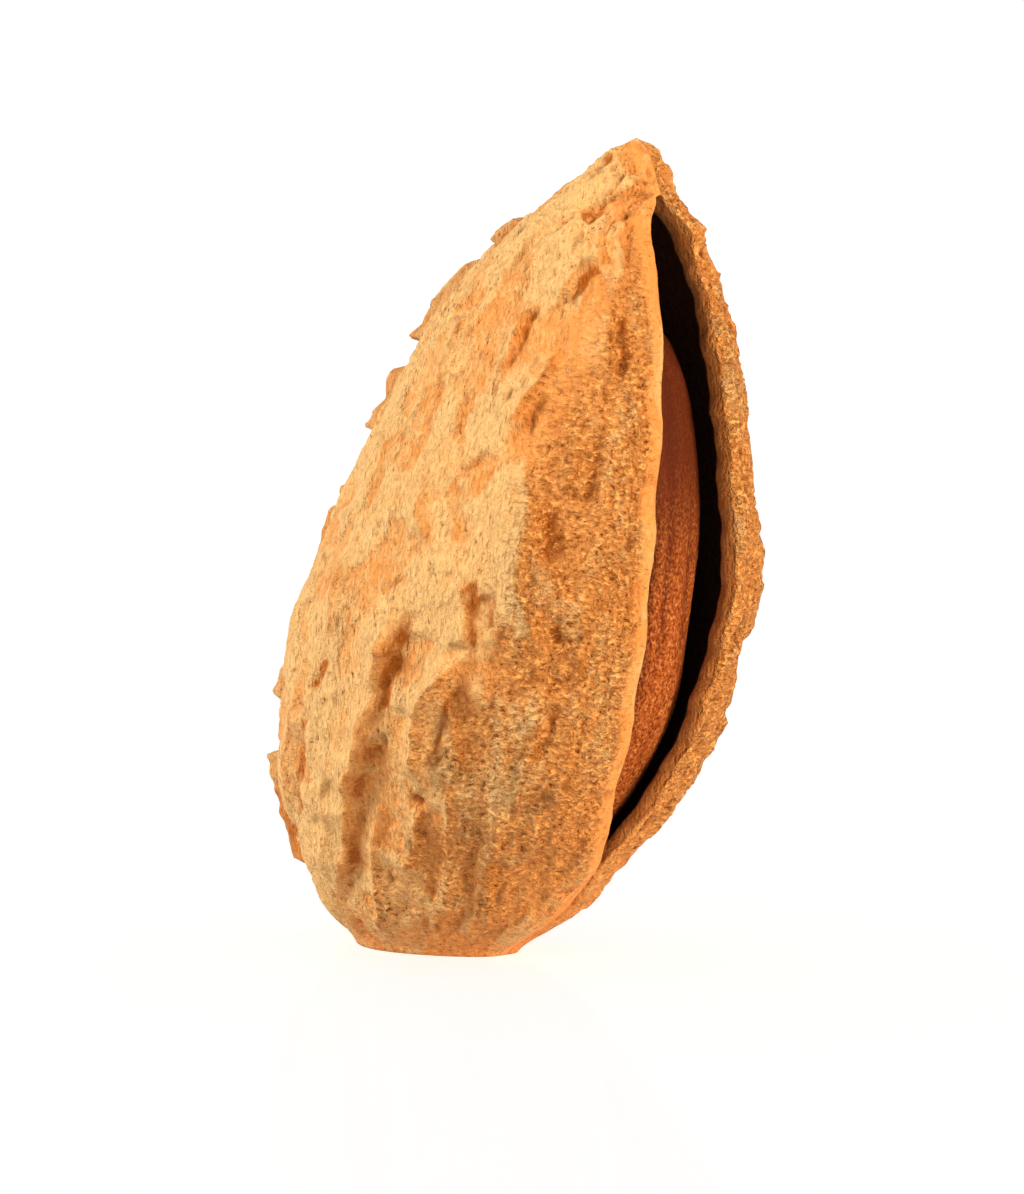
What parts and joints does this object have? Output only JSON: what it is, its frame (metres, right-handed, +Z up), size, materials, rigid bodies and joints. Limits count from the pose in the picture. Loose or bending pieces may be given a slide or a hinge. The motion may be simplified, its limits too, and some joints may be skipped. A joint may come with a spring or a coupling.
{
  "type": "almond in its shell",
  "caption": "Almond in its woody shell, standing on its blunt end with its point up, one seam split open so the brown kernel shows inside.",
  "frame": {"origin": "the middle of the small flat spot that the nut stands on, at its blunt end", "axes": "+Z up towards the point, +X towards the split seam, Y across the thickness; the seam plane is Y = 0"},
  "size_m": [0.0271, 0.0189, 0.038],
  "materials": {
    "shell": "rough, ridged and pitted woody shell, pale tan on the heights and orange brown in the hollows",
    "kernel": "matt, wrinkled red-brown seed skin"
  },
  "bodies": {
    "root": {"shell": "shell", "kernel": "kernel"}
  },
  "joints": []
}
